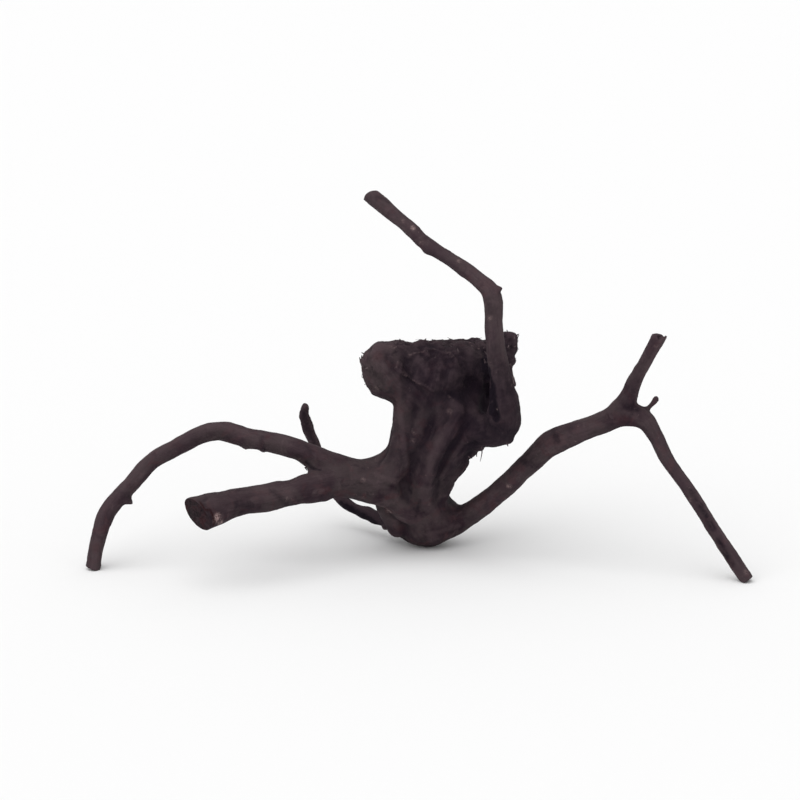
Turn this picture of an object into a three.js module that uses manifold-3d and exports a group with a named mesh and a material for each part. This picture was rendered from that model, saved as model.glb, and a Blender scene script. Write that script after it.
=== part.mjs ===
// A spiderwood root: the washed and dried stump of a shrub, with its long roots sawn off short.
// It is one grown piece of wood. It stands on the tips of its two longest roots and on the underside
// of its stump, so a fish or a plant can pass under the arches between them.
//
// Units are millimetres. +Z is up, X runs along the widest spread of the roots, and -Y is the front.
// Each root is a route of stations, and the skin of the wood is a distance field that lets the roots
// flow into each other. The field is sampled into triangles, thinned where it is smooth, and sawn.

import * as THREE from 'three';
import { mergeVertices } from 'three/addons/utils/BufferGeometryUtils.js';
import Module from 'manifold-3d';

// Driving dimensions
const LATTICE = 1.8; // spacing of the points where the field is sampled
const TRIANGLES = 10400; // how many triangles the thinned skin keeps
const FLOW_SHARE = 0.4; // how far a root's skin flows into the next, as a share of its radius
const HOLLOW_FLOW = 4; // how softly a hollow's rim is rounded
const FAR = 14; // distances beyond this are not worked out
const STEPS_PER_SPAN = 4; // straight pieces between two stations of a route
const LUMP_SHARE = 0.07; // height of the lumps on a root, as a share of its radius
const CRUMBLE = 1.4; // height of the rough relief on the broken head of the stump
const CRUMBLE_REACH = 44; // how far that relief reaches from the middle of the head
const HEAD_MIDDLE = new THREE.Vector3(30, 0, 122);
const WOOD_COLOUR = 0x3d3233;

// Every route is a list of stations: x, y, z and the radius of the wood there.
// The stump is a thick waist under a broken head. Strands lie half sunk in it and run on into its roots.
const STUMP = {
  waist: [
    [26, 1, 99, 21], [17, 0, 81, 20.5], [12, 3, 62, 18.5], [10, 8, 42, 18], [16, 17.5, 19.2, 19.6],
  ],
  head: [
    [-3, -4, 116, 16.5], [15, -2, 113, 21], [35, 2, 113, 22.5], [49, 8, 113, 17], [57.5, 11, 121, 11.5],
    [62.5, 12, 129.3, 7.2],
  ],
  knob: [
    [-9.5, -8, 121.3, 13.2], [-7, -7, 110, 12.8],
  ],
  shoulder: [
    [34, 0, 94, 21], [38, -2, 80, 15], [31, 0, 64, 11.5], [27.5, 1, 53.5, 11.2], [21.5, 3, 40, 9],
  ],
  underLump: [
    [-8, 0, 31, 6.5], [-4, 5, 22, 7], [-2, 8, 14.4, 6.2],
  ],
  leftWeb: [
    [-24, -2, 48, 9], [-8, 0, 55.5, 9], [1, 1, 64, 9], [4.8, 1, 74, 9], [6, 0, 86, 9],
  ],
  frontLeft: [
    [-34, -12, 54, 5], [-14, -12, 50, 7], [-1, -11, 61, 7.5], [2.5, -12, 80, 7.5], [3.5, -13, 98, 7],
    [8, -16, 112, 6],
  ],
  frontMiddle: [
    [34, -18, 98, 6], [33, -17, 87, 6.5], [26, -16, 79, 7], [20, -14, 68, 7], [16, -11, 54, 7],
    [14, -5, 38, 7], [22, 3, 22, 6],
  ],
  frontRight: [
    [42.5, -15, 98, 5.5], [43, -17, 88, 6.5], [40, -15, 81, 6.5], [32, -11, 68, 6.5], [27, -7, 56, 6.5],
  ],
  frontCross: [
    [-30, -14, 50, 5], [-10, -9, 41.5, 6], [5, -3, 28, 7], [26, 5, 19, 6],
  ],
  backLeft: [
    [-30, 4, 48, 6], [-8, 14, 46, 8], [5, 20, 66, 9], [12, 20, 92, 9], [20, 18, 114, 8],
  ],
  backRight: [
    [18, 24, 20, 9], [15, 22, 48, 9], [29, 18, 80, 10], [43, 18, 104, 9],
  ],
};

// The roots that leave the stump, with their forks, buds and splinters
const ROOTS = {
  leftLong: [
    [-10, -2, 46, 12.7], [-29, -7, 51.4, 11.2], [-42, -9, 58.2, 9], [-56.5, -8, 65.8, 7],
    [-67, -6, 69.9, 6.2], [-80.5, -2, 72, 6], [-91.5, 2, 72.7, 6.1], [-100.5, 4, 74.8, 5.9],
    [-108, 4, 76.6, 5.8], [-116, 2, 76.2, 5.4], [-130.5, -4, 70.8, 5.1], [-148.3, -12, 61.4, 4.9],
    [-162.8, -18, 47.1, 4.8], [-174.1, -23, 34.4, 5], [-179.4, -26, 21, 4.5],
    [-182.5, -28, 6, 4.4], [-183.4, -29, 0, 4.4],
  ],
  leftSawn: [
    [-12, -6, 45.6, 11.6], [-33, -14, 50, 9.4], [-58.5, -26, 48.8, 8.2], [-78.5, -37, 47, 8.1],
    [-97.5, -49, 47.2, 8.3], [-107, -56, 46, 9.6], [-114, -61.5, 45, 10.5], [-123, -69, 44, 10.8],
  ],
  leftCrotch: [
    [-42, -12, 54, 8], [-50.5, -14, 57, 5],
  ],
  backSlender: [
    [2, 22, 16, 10], [-10, 33, 12, 4.6], [-22, 43, 12.6, 3.2], [-33.5, 51, 16.4, 3.2],
    [-43, 56, 24.5, 3.4], [-49.5, 58, 37, 3.4], [-53, 56, 50.5, 3.3], [-57, 52, 66, 3.1],
    [-59.8, 49, 74.5, 3], [-59.5, 47, 80.8, 2.4],
  ],
  rightLong: [
    [16, 16, 20.5, 16], [28, 14, 18, 11.5], [38, 12, 19.8, 7.8], [47, 9, 26, 6.7], [65.5, 1, 44.3, 6.2],
    [78, -4, 58.8, 6.3], [91.5, -9, 73, 7.5], [103, -12, 79, 7], [117.5, -16, 86.2, 6.3],
    [129, -19, 91.7, 6.5], [138, -22, 93.4, 6.2],
  ],
  rightFoot: [
    [138, -22, 93.4, 6.2], [144.8, -25, 90.2, 5.6], [150.6, -28, 81.5, 4.5], [156.4, -32, 70.2, 4],
    [170.3, -38, 51.2, 3.8], [182, -43, 32.8, 3.8], [191.9, -47, 18.2, 3.9], [202.7, -51, 2, 4.1],
    [206.5, -52.5, -4, 4.1],
  ],
  rightStub: [
    [130, -20, 95.3, 7], [134, -23, 104, 5.4], [135.9, -26, 112, 4.5], [139.6, -31, 122, 3.9],
    [144.3, -36, 133.5, 3.8], [149.2, -40, 145, 4], [151, -41.4, 149, 4],
  ],
  topLong: [
    [35, -4, 80, 12], [48.5, -17, 83, 10], [58.5, -26, 87.2, 10.5], [61, -35, 98.5, 9.5],
    [60, -40, 110, 7.9], [57.8, -41, 122, 6.5], [55.6, -40, 133.5, 5.6], [54.5, -38, 144.5, 5.2],
    [54.2, -35, 154.5, 5.1], [53.7, -33, 163, 5.3], [51.6, -31, 169.7, 5.2], [44, -26.5, 176.3, 4.4],
    [31, -20, 184.7, 3.9], [19, -14, 191.3, 4], [12, -11, 196.1, 4], [6.4, -8, 201.8, 4],
    [-3.2, -3, 209, 4.1], [-12, 2, 215.7, 4.4], [-18.3, 5, 220.5, 4.5], [-22, 6.5, 223, 4.5],
  ],
  forkTwig: [
    [139.8, -22, 95, 2.2], [143, -22, 96.4, 1.8], [146.2, -21.5, 97.6, 1.6], [149, -21, 100, 1.6],
    [151.2, -20.5, 103.4, 1.5],
  ],
  headSliver: [
    [62, 11, 119, 3], [66, 10, 111, 2.1], [68.6, 8, 104.5, 1.7],
  ],
  budAtBend: [
    [-165.5, -19, 44, 3.2], [-161.3, -20.5, 39.8, 1.5],
  ],
  budUnderArch: [
    [-92, 2, 70.5, 3], [-93.5, 1, 67, 1.4],
  ],
  budByFork: [
    [-82, -2, 69, 3], [-82.6, -2.5, 66, 1.4],
  ],
};

// Hollows scooped out of the stump before the roots join it: x, y, z, and the radius along each axis.
// The first is the long shallow saddle on top of the head, the next two are the deep fold between the head
// and the upper root, and the fourth is the furrow that sets the head's left knob apart.
const HOLLOWS = [
  [33, 6, 159.5, 48, 60, 27.5],
  [52.5, -22, 103, 6, 13, 19],
  [44, -23, 110, 9, 9, 12],
  [4, -27, 125, 3.5, 9, 14],
  [13, -27, 74, 6, 7, 14],
  [17, 36, 44, 8, 12, 13],
  [31, 36, 92, 8, 12, 14],
  [-3, 26, 88, 8, 9, 13],
];

// Sawn ends: a point of the cut, the direction that its face looks to, and the root's radius there
const SAWN_ENDS = [
  { at: [-116.3, -63.6, 44.9], facing: [-0.68, -0.63, -0.37], radius: 11 },
  { at: [-183.2, -28.8, 0.6], facing: [-0.34, -0.1, -0.94], radius: 4.5 },
  { at: [203.6, -51.4, 0.8], facing: [0.6, -0.22, -0.76], radius: 4.2 },
  { at: [148.9, -40, 144.5], facing: [0.3, -0.2, 0.93], radius: 4.5 },
  { at: [-17.2, 4.6, 220.4], facing: [-0.55, 0.25, 0.8], radius: 5 },
];

const wasm = await Module();
wasm.setup();

// Straight tapered pieces along the smooth curve through a route's stations, and the box they reach.
function spansOf(route) {
  const curve = new THREE.CatmullRomCurve3(route.map(([x, y, z]) => new THREE.Vector3(x, y, z)));
  const radii = new THREE.CatmullRomCurve3(route.map(([, , , r]) => new THREE.Vector3(r, 0, 0)));
  const count = (route.length - 1) * STEPS_PER_SPAN;
  const stops = Array.from({ length: count + 1 }, (_, i) => ({
    at: curve.getPoint(i / count),
    radius: radii.getPoint(i / count).x,
  }));
  const spans = stops.slice(1).map((end, i) => {
    const { at: start, radius } = stops[i];
    const along = end.at.clone().sub(start);
    return { start, along, radius, growth: end.radius - radius, share: 1 / along.lengthSq() };
  });
  const box = new THREE.Box3();
  for (const { at, radius } of stops) {
    const reach = new THREE.Vector3().setScalar(2 * (radius + FAR));
    box.union(new THREE.Box3().setFromCenterAndSize(at, reach));
  }
  return { spans, box };
}

// Distance from a point to the skin of one root, below zero inside it, and the radius there.
function distanceTo(root, point) {
  const near = { distance: FAR, radius: 0 };
  if (!root.box.containsPoint(point)) return near;
  for (const { start, along, radius, growth, share } of root.spans) {
    const x = point.x - start.x;
    const y = point.y - start.y;
    const z = point.z - start.z;
    const t = Math.min(1, Math.max(0, (x * along.x + y * along.y + z * along.z) * share));
    const here = radius + growth * t;
    const distance = Math.hypot(x - along.x * t, y - along.y * t, z - along.z * t) - here;
    if (distance < near.distance) {
      near.distance = distance;
      near.radius = here;
    }
  }
  return near;
}

// The lesser of two distances, rounded off where they are within reach of each other.
function flowed(a, b, reach) {
  const overlap = Math.max(reach - Math.abs(a - b), 0);
  return Math.min(a, b) - (overlap * overlap) / (4 * reach);
}

// Waves of different lengths and directions, added up: a smooth lumpy relief between -1 and 1.
const LUMP_WAVES = [
  [0.21, 0.09, -0.13, 0.4], [-0.08, 0.24, 0.11, 1.9], [0.1, -0.17, 0.26, 3.1], [0.33, 0.21, 0.12, 5.2],
];
const CRUMBLE_WAVES = [
  [0.71, 0.22, -0.35, 0.7], [-0.31, 0.63, 0.52, 2.2], [0.24, -0.58, 0.77, 4.0], [0.95, 0.41, 0.38, 1.1],
];
function waves(list, { x, y, z }) {
  const sum = list.reduce((so_far, [kx, ky, kz, start]) => so_far + Math.sin(kx * x + ky * y + kz * z + start), 0);
  return sum / list.length;
}

const stump = Object.values(STUMP).map(spansOf);
const roots = Object.values(ROOTS).map(spansOf);

// The skin of the whole piece is where this is zero.
function wood(point) {
  let distance = FAR;
  let radius = 0;
  let nearest = FAR;
  const grow = (root) => {
    const near = distanceTo(root, point);
    if (near.distance >= FAR) return;
    if (near.distance < nearest) {
      nearest = near.distance;
      radius = near.radius;
    }
    distance = flowed(distance, near.distance, FLOW_SHARE * near.radius);
  };
  stump.forEach(grow);
  for (const [x, y, z, rx, ry, rz] of HOLLOWS) {
    const outside = Math.hypot((point.x - x) / rx, (point.y - y) / ry, (point.z - z) / rz) - 1;
    distance = -flowed(-distance, outside * Math.min(rx, ry, rz), HOLLOW_FLOW);
  }
  roots.forEach(grow);
  if (distance >= FAR) return distance;
  const rough = Math.max(0, 1 - point.distanceTo(HEAD_MIDDLE) / CRUMBLE_REACH);
  const lumps = LUMP_SHARE * radius * waves(LUMP_WAVES, point);
  return distance - lumps - CRUMBLE * rough * waves(CRUMBLE_WAVES, point);
}

// Six tetrahedra fill each cell of the lattice. A corner is a number whose three bits are its x, y and z.
const TETRAHEDRA = [[0, 1, 3, 7], [0, 1, 5, 7], [0, 2, 3, 7], [0, 2, 6, 7], [0, 4, 5, 7], [0, 4, 6, 7]];
const CORNERS = [0, 1, 2, 3, 4, 5, 6, 7];
const CLOSEST_TO_CORNER = 0.04; // how near the surface may pass a lattice point, as a share of the step

// Triangles of the surface where a field is zero, as points and faces. It is closed, whatever the field.
function surfaceOf(field, box, cell) {
  const size = box.getSize(new THREE.Vector3()).divideScalar(cell).ceil().addScalar(1);
  const row = size.x;
  const layer = size.x * size.y;
  const place = (i) => {
    const step = new THREE.Vector3(i % row, Math.floor(i / row) % size.y, Math.floor(i / layer));
    return step.multiplyScalar(cell).add(box.min);
  };
  const values = Float64Array.from({ length: layer * size.z }, (_, i) => field(place(i)));
  const offsets = CORNERS.map((bits) => (bits & 1) + ((bits >> 1) & 1) * row + (bits >> 2) * layer);
  const points = [];
  const faces = [];
  const made = new Map();
  const crossing = (inside, outside) => {
    const key = Math.min(inside, outside) * CORNERS.length * layer + Math.abs(inside - outside);
    if (!made.has(key)) {
      const exact = values[inside] / (values[inside] - values[outside]);
      const share = THREE.MathUtils.clamp(exact, CLOSEST_TO_CORNER, 1 - CLOSEST_TO_CORNER);
      made.set(key, points.push(place(inside).lerp(place(outside), share)) - 1);
    }
    return made.get(key);
  };
  const addFace = (a, b, c, outwards) => {
    const normal = points[b].clone().sub(points[a]).cross(points[c].clone().sub(points[a]));
    faces.push(normal.dot(outwards) > 0 ? [a, b, c] : [a, c, b]);
  };
  for (let i = 0; i < values.length - layer - row - 1; i++) {
    const corners = offsets.map((offset) => i + offset);
    const first = values[corners[0]] < 0;
    if (corners.every((c) => values[c] < 0 === first)) continue;
    for (const tetrahedron of TETRAHEDRA) {
      const ends = tetrahedron.map((bits) => corners[bits]);
      const inner = ends.filter((c) => values[c] < 0);
      const outer = ends.filter((c) => values[c] >= 0);
      if (!inner.length || !outer.length) continue;
      const outwards = place(outer[0]).sub(place(inner[0]));
      if (inner.length === 2) {
        const [p, q] = inner;
        const [r, s] = outer;
        addFace(crossing(p, r), crossing(q, r), crossing(q, s), outwards);
        addFace(crossing(p, r), crossing(q, s), crossing(p, s), outwards);
      } else if (inner.length === 1) {
        addFace(...outer.map((c) => crossing(inner[0], c)), outwards);
      } else {
        addFace(...inner.map((c) => crossing(c, outer[0])), outwards);
      }
    }
  }
  return { points, faces };
}

// The sum of squared distances to a set of planes, as x'Ax - 2b'x + c. It starts with a slight pull
// towards one point, which keeps the triangles even and lets the lowest place always be found.
const EVENNESS = 0.012;
class PlaneSum {
  constructor({ x, y, z }) {
    const terms = [1, 0, 0, 1, 0, 1, x, y, z, x * x + y * y + z * z];
    this.terms = terms.map((term) => term * EVENNESS);
  }

  addPlane({ normal: { x, y, z }, constant }, weight) {
    const flat = [x * x, x * y, x * z, y * y, y * z, z * z];
    const offset = [-x * constant, -y * constant, -z * constant, constant * constant];
    this.addTerms([...flat, ...offset].map((term) => term * weight));
  }

  addTerms(terms) {
    this.terms = this.terms.map((term, i) => term + terms[i]);
  }

  at({ x, y, z }) {
    const [xx, xy, xz, yy, yz, zz, bx, by, bz, c] = this.terms;
    const mixed = xy * x * y + xz * x * z + yz * y * z;
    return xx * x * x + yy * y * y + zz * z * z + 2 * (mixed - bx * x - by * y - bz * z) + c;
  }

  lowestPlace() {
    const [xx, xy, xz, yy, yz, zz, bx, by, bz] = this.terms;
    const matrix = new THREE.Matrix3().set(xx, xy, xz, xy, yy, yz, xz, yz, zz);
    return new THREE.Vector3(bx, by, bz).applyMatrix3(matrix.invert());
  }
}

// Merges the two ends of an edge, cheapest first, until few enough triangles are left.
const MERGED_PER_PASS = 0.15; // share of the triangles that one pass takes away
const LEAST_TURN = 0.35; // how far a triangle's normal may turn, as a cosine
const LEAST_SHAPE = 0.12; // height of a flat triangle that a merge may make, as a share of its longest side
function thinned({ points, faces }, wanted) {
  const facesOf = points.map(() => new Set());
  faces.forEach((face, f) => face.forEach((p) => facesOf[p].add(f)));
  const normalOf = (a, b, c) => b.clone().sub(a).cross(c.clone().sub(a));
  const sums = points.map((p) => new PlaneSum(p));
  for (const face of faces) {
    const [a, b, c] = face.map((p) => points[p]);
    const area = normalOf(a, b, c).length();
    const plane = new THREE.Plane().setFromCoplanarPoints(a, b, c);
    for (const p of face) sums[p].addPlane(plane, area);
  }
  const shapeOf = (a, b, c) => {
    const longest = Math.max(a.distanceToSquared(b), b.distanceToSquared(c), c.distanceToSquared(a));
    return normalOf(a, b, c).length() / longest;
  };
  const neighboursOf = (p) => new Set([...facesOf[p]].flatMap((f) => faces[f]).filter((q) => q !== p));
  const keepsItsShape = (p, other, target) => [...facesOf[p]].every((f) => {
    if (faces[f].includes(other)) return true;
    const before = normalOf(...faces[f].map((q) => points[q]));
    const corners = faces[f].map((q) => (q === p ? target : points[q]));
    const after = normalOf(...corners);
    const turn = after.dot(before) / (after.length() * before.length());
    return turn > LEAST_TURN && (shapeOf(...corners) > LEAST_SHAPE || after.length() > before.length());
  });
  const edgesByCost = () => {
    const edges = [];
    for (const face of faces) {
      face?.forEach((a, i) => {
        const b = face[(i + 1) % 3];
        if (a > b) return;
        const sum = new PlaneSum(points[a]);
        sum.terms = sums[a].terms;
        sum.addTerms(sums[b].terms);
        const target = sum.lowestPlace();
        edges.push({ a, b, target, cost: sum.at(target) });
      });
    }
    return edges.sort((one, other) => one.cost - other.cost);
  };
  let left = faces.length;
  while (left > wanted) {
    const touched = new Set();
    const before = left;
    const enough = Math.max(wanted, left * (1 - MERGED_PER_PASS));
    for (const { a, b, target } of edgesByCost()) {
      if (left <= enough) break;
      if (touched.has(a) || touched.has(b)) continue;
      const around = neighboursOf(a);
      const shared = [...neighboursOf(b)].filter((p) => around.has(p));
      if (shared.length !== 2 || !keepsItsShape(a, b, target) || !keepsItsShape(b, a, target)) continue;
      points[a].copy(target);
      sums[a].addTerms(sums[b].terms);
      for (const f of facesOf[b]) {
        if (faces[f].includes(a)) {
          for (const p of faces[f]) facesOf[p].delete(f);
          faces[f] = null;
          left--;
        } else {
          faces[f] = faces[f].map((p) => (p === b ? a : p));
          facesOf[a].add(f);
        }
      }
      facesOf[b].clear();
      for (const p of [a, b, ...neighboursOf(a)]) touched.add(p);
    }
    if (left === before) break;
  }
  return { points, faces: faces.filter(Boolean) };
}

// A closed mesh and a solid for cutting are turned into each other.
const SAME_POINT = 1e-5; // points closer than this are one point
function geometryOf({ points, faces }) {
  const geometry = new THREE.BufferGeometry().setFromPoints(points);
  geometry.setIndex(faces.flat());
  return geometry;
}
function solidOf(geometry) {
  const bare = geometry.clone().deleteAttribute('normal').deleteAttribute('uv');
  const merged = mergeVertices(bare, SAME_POINT);
  return new wasm.Manifold(new wasm.Mesh({
    numProp: 3,
    vertProperties: new Float32Array(merged.attributes.position.array),
    triVerts: new Uint32Array(merged.index.array),
  }));
}
function meshGeometryOf(solid) {
  const { vertProperties, triVerts } = solid.getMesh();
  const position = new THREE.BufferAttribute(vertProperties, 3);
  const geometry = new THREE.BufferGeometry().setAttribute('position', position);
  return geometry.setIndex(new THREE.BufferAttribute(triVerts, 1));
}

// The box that a saw cut takes away: it starts at the cut and reaches past the root's round end.
function sawCut({ at, facing, radius }) {
  const reach = 3 * radius;
  const waste = new THREE.BoxGeometry(reach, reach, reach).translate(0, 0, reach / 2);
  const out = new THREE.Vector3(...facing).normalize();
  const turn = new THREE.Quaternion().setFromUnitVectors(new THREE.Vector3(0, 0, 1), out);
  return waste.applyQuaternion(turn).translate(...at);
}

// Everything below the surface that the root stands on. It leaves a small flat spot under each foot.
function ground(box) {
  const size = box.getSize(new THREE.Vector3());
  const middle = box.getCenter(new THREE.Vector3());
  const depth = 2 * FAR;
  return new THREE.BoxGeometry(2 * size.x, 2 * size.y, depth).translate(middle.x, middle.y, -depth / 2);
}

function buildRoot() {
  const reach = [...stump, ...roots].reduce((box, root) => box.union(root.box), new THREE.Box3());
  const skin = thinned(surfaceOf(wood, reach, LATTICE), TRIANGLES);
  const cuts = [...SAWN_ENDS.map(sawCut), ground(reach)];
  const solid = cuts.reduce((rest, cut) => rest.subtract(solidOf(cut)), solidOf(geometryOf(skin)));
  const geometry = meshGeometryOf(solid);
  geometry.computeBoundingBox();
  geometry.computeVertexNormals();
  return geometry;
}

const driedWood = new THREE.MeshStandardMaterial({ color: WOOD_COLOUR, roughness: 0.85, metalness: 0 });
const spiderwood = new THREE.Mesh(buildRoot(), driedWood);
spiderwood.name = 'spiderwood_root';

// The part's origin is under the middle of its box, on the surface that it stands on
const { min, max } = spiderwood.geometry.boundingBox;
spiderwood.position.set(-(min.x + max.x) / 2, -(min.y + max.y) / 2, -min.z);

const part = new THREE.Group();
part.add(spiderwood);
export default part;
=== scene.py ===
# %% [markdown]
# # A spiderwood root
#
# Spiderwood is the washed and dried root stump of a shrub. This one is a thick gnarled stump with a
# broken, crumbly head, and long thin roots that arch out to the left, to the right and upwards. It is one
# grown piece.
#
# The CAD model gives the root's place, size and main shape. This lesson turns it into wood: a fine skin,
# the relief of grain and crumbs, the colours of dark dried bark, and loose flakes and fibres on the head.

# %% Load the frame
import math
import random

import bpy
import numpy as np
from mathutils import Matrix, Vector
from mathutils.bvhtree import BVHTree


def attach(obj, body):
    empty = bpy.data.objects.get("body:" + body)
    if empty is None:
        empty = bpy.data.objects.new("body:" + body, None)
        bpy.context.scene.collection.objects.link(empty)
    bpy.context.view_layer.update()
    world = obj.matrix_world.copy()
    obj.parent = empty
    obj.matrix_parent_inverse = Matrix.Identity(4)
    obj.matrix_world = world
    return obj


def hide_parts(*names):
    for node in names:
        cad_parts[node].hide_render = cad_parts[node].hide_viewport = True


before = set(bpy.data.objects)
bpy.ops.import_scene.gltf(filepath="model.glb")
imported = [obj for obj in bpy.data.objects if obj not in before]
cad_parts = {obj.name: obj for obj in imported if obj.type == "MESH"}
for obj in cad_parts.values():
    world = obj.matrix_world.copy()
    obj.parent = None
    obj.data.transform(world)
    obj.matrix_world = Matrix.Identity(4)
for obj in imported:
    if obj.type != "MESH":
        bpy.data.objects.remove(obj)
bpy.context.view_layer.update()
MM = 0.001
scene = bpy.context.scene
bpy.ops.object.select_all(action="DESELECT")


def add_object(name, data):
    piece = bpy.data.objects.new(name, data)
    scene.collection.objects.link(piece)
    return piece

# %% [markdown]
# ## The camera
#
# The photograph was taken with a long lens from a little above the surface, about 14 degrees, so the roots
# hardly get smaller towards the back. A 90 mm lens at 1.2 m gives the same picture. Later cells name places
# in the photograph by their pixels, and the ray through a pixel finds the place on the wood.

# %% Set up the camera
PHOTO_SIDE = 800
LENS = 90.0
SENSOR = 36.0
DISTANCE = 1.2
RISE = math.radians(14)
aim = Vector((-0.00963, 0.00514, 0.097))
forward = Vector((0, math.cos(RISE), -math.sin(RISE)))
right = Vector((1, 0, 0))
up = right.cross(forward)

camera_data = bpy.data.cameras.new("camera")
camera_data.lens = LENS
camera_data.sensor_width = SENSOR
camera_data.clip_start = 0.05
camera_data.clip_end = 60
camera = add_object("camera", camera_data)
camera.location = aim - forward * DISTANCE
camera.rotation_euler = forward.to_track_quat("-Z", "Y").to_euler()
scene.camera = camera
PIXEL = DISTANCE * SENSOR / LENS / PHOTO_SIDE
print("camera at", [round(c, 3) for c in camera.location], " one pixel is", round(PIXEL / MM, 2), "mm")


def ray_through(px, py):
    """From the camera towards a pixel of the photograph, one long in the camera's direction."""
    half = PHOTO_SIDE / 2
    return forward + (right * (px - half) + up * (half - py)) * PIXEL / DISTANCE

# %% [markdown]
# ## A finer skin
#
# The CAD mesh has flat triangles about 3 mm wide. Real wood has no facets, so a copy of the mesh is
# merged, each triangle is subdivided with smoothness, which lifts the new points onto a rounded surface,
# and a voxel remesh then spreads small, even faces over the whole root. Even faces matter here: every later
# relief moves points, and it comes out equally fine on a thin root and on the stump.
#
# Smoothing would also round off the sawn ends. So each sawn face is first drawn out by 2 mm, and is sawn
# again at its old place when the skin is smooth. An end is given by its middle, the way it faces, and its
# reach, in millimetres.

# %% Copy the solid and remesh it
VOXEL = 0.97 * MM
SPARE = 2 * MM
SAME_POINT = 0.001 * MM
ON_THE_PLANE = 0.1 * MM
FACING_ALIKE = 0.99
SAWN_ENDS = {
    "left sawn": ((-125.9, -58.5, 44.9), (-0.68, -0.63, -0.37), 15),
    "left foot": ((-192.8, -23.7, 0.6), (-0.34, -0.1, -0.94), 8),
    "right foot": ((194.0, -46.3, 0.8), (0.6, -0.22, -0.76), 8),
}


def make_active(piece):
    bpy.ops.object.select_all(action="DESELECT")
    piece.select_set(True)
    bpy.context.view_layer.objects.active = piece


def apply_modifier(piece, modifier):
    make_active(piece)
    bpy.ops.object.modifier_apply(modifier=modifier.name)


def merge_points(piece):
    make_active(piece)
    bpy.ops.object.mode_set(mode="EDIT")
    bpy.ops.mesh.select_all(action="SELECT")
    bpy.ops.mesh.remove_doubles(threshold=SAME_POINT)
    bpy.ops.object.mode_set(mode="OBJECT")


def edit_selected(piece, mode, test):
    """Enter edit mode with the faces or vertices selected that pass a test."""
    make_active(piece)
    bpy.ops.object.mode_set(mode="EDIT")
    bpy.ops.mesh.select_mode(type=mode)
    bpy.ops.mesh.select_all(action="DESELECT")
    bpy.ops.object.mode_set(mode="OBJECT")
    for element in piece.data.polygons if mode == "FACE" else piece.data.vertices:
        element.select = test(element)
    bpy.ops.object.mode_set(mode="EDIT")


def sawn_plane(end):
    middle, facing, reach = SAWN_ENDS[end]
    return Vector(middle) * MM, Vector(facing).normalized(), reach * MM


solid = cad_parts["spiderwood_root"]
root = add_object("root_skin", solid.data.copy())
root.data.name = "root_skin"
merge_points(root)
for end in SAWN_ENDS:
    middle, facing, reach = sawn_plane(end)
    edit_selected(root, "FACE", lambda face: (
        (face.center - middle).length < reach
        and abs((face.center - middle).dot(facing)) < ON_THE_PLANE
        and face.normal.dot(facing) > FACING_ALIKE
    ))
    bpy.ops.mesh.extrude_region_move(TRANSFORM_OT_translate={"value": facing * SPARE})
    bpy.ops.object.mode_set(mode="OBJECT")
bpy.ops.object.mode_set(mode="EDIT")
bpy.ops.mesh.select_all(action="SELECT")
bpy.ops.mesh.subdivide(number_cuts=2, smoothness=1.0)
bpy.ops.object.mode_set(mode="OBJECT")

remesh = root.modifiers.new("even faces", "REMESH")
remesh.mode = "VOXEL"
remesh.voxel_size = VOXEL
apply_modifier(root, remesh)
smooth = root.modifiers.new("no facets", "SMOOTH")
smooth.factor = 0.5
smooth.iterations = 4
apply_modifier(root, smooth)
print("skin:", len(root.data.vertices), "points,", len(root.data.polygons), "faces")

# %% [markdown]
# ## Small pulls
#
# The solid is right to a few millimetres. The rest is pulled into place as with a sculptor's grab brush.
# Each pull names a place in the photograph, how far around it reaches, and how far the wood moves to the
# right and up, all in pixels. A ray finds the place on the wood, so the pulls are true shape from every
# side. Swells move the wood straight outwards by some millimetres, to make a thin root a little thicker.

# %% Pull the outline right
PULLS = [
    ((380, 397), 17, (0.4, 4.0)),
    ((369, 390), 8, (0.6, 1.6)),
    ((366, 374), 12, (-1.4, 0)),
    ((369, 350), 7, (2.0, -2.2)),
    ((363, 362), 5, (-2.4, 0.6)),
    ((362, 368), 3, (1.6, 0)),
    ((453, 481), 20, (-5.5, 2.0)),
    ((452, 499), 10, (-4.5, 0)),
    ((304, 432), 16, (-3.0, 0.2)),
    ((477, 447), 9, (4.0, -3.4)),
    ((466, 464), 6, (2.0, -0.6)),
    ((470, 460), 5, (-2.4, 1.4)),
    ((507, 439), 10, (3.4, -2.8)),
    ((512, 338), 8, (3.0, 2.0)),
    ((504, 334), 5, (0, -4.0)),
    ((513, 347), 4, (-3.0, 0)),
    ((513, 361), 7, (3.0, 0)),
    ((512, 388), 12, (-3.0, 0)),
    ((244, 511), 14, (0, 2.0)),
    ((288, 479), 16, (0, -2.4)),
    ((297, 459), 12, (0, 2.2)),
    ((312, 500), 20, (0, -1.8)),
    ((328, 499), 8, (0, -1.6)),
    ((128, 502), 6, (3.4, -1.6)),
    ((395, 432), 14, (2.4, 0)),
    ((386, 527), 7, (-3.0, -2.0)),
    ((370, 508), 9, (0, 2.2)),
    ((427, 250), 8, (-1.4, -1.6)),
    ((497, 289), 5, (2.6, 1.4)),
    ((500, 288), 3, (1.6, 0.4)),
    ((150, 456), 28, (-0.9, 0.9)),
    ((656, 338), 4, (-0.8, 2.0)),
    ((660.5, 337), 2.5, (0.2, -2.4)),
    ((664.5, 342), 4.5, (2.4, 2.8)),
    ((664, 340), 4, (0.6, 3.2)),
    ((430, 342), 8, (0, -2.4)),
    ((450, 341), 9, (0, -2.2)),
    ((420, 342), 5, (0, 1.4)),
    ((407, 343), 4, (0, -2.4)),
]
SWELLS = [
    ((345, 509), 14, 0.6), ((364, 513), 12, 1.3), ((374, 518), 10, 1.2), ((490, 330), 16, 0.5),
    ((404, 238), 9, 0.3), ((190, 517), 12, 1.6), ((605, 408), 12, 0.5), ((562, 450), 12, 0.5),
]
DEPTH_PER_WIDTH = 3
SEARCH_PIXELS = 12
SEARCH_DIRECTIONS = 12


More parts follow.
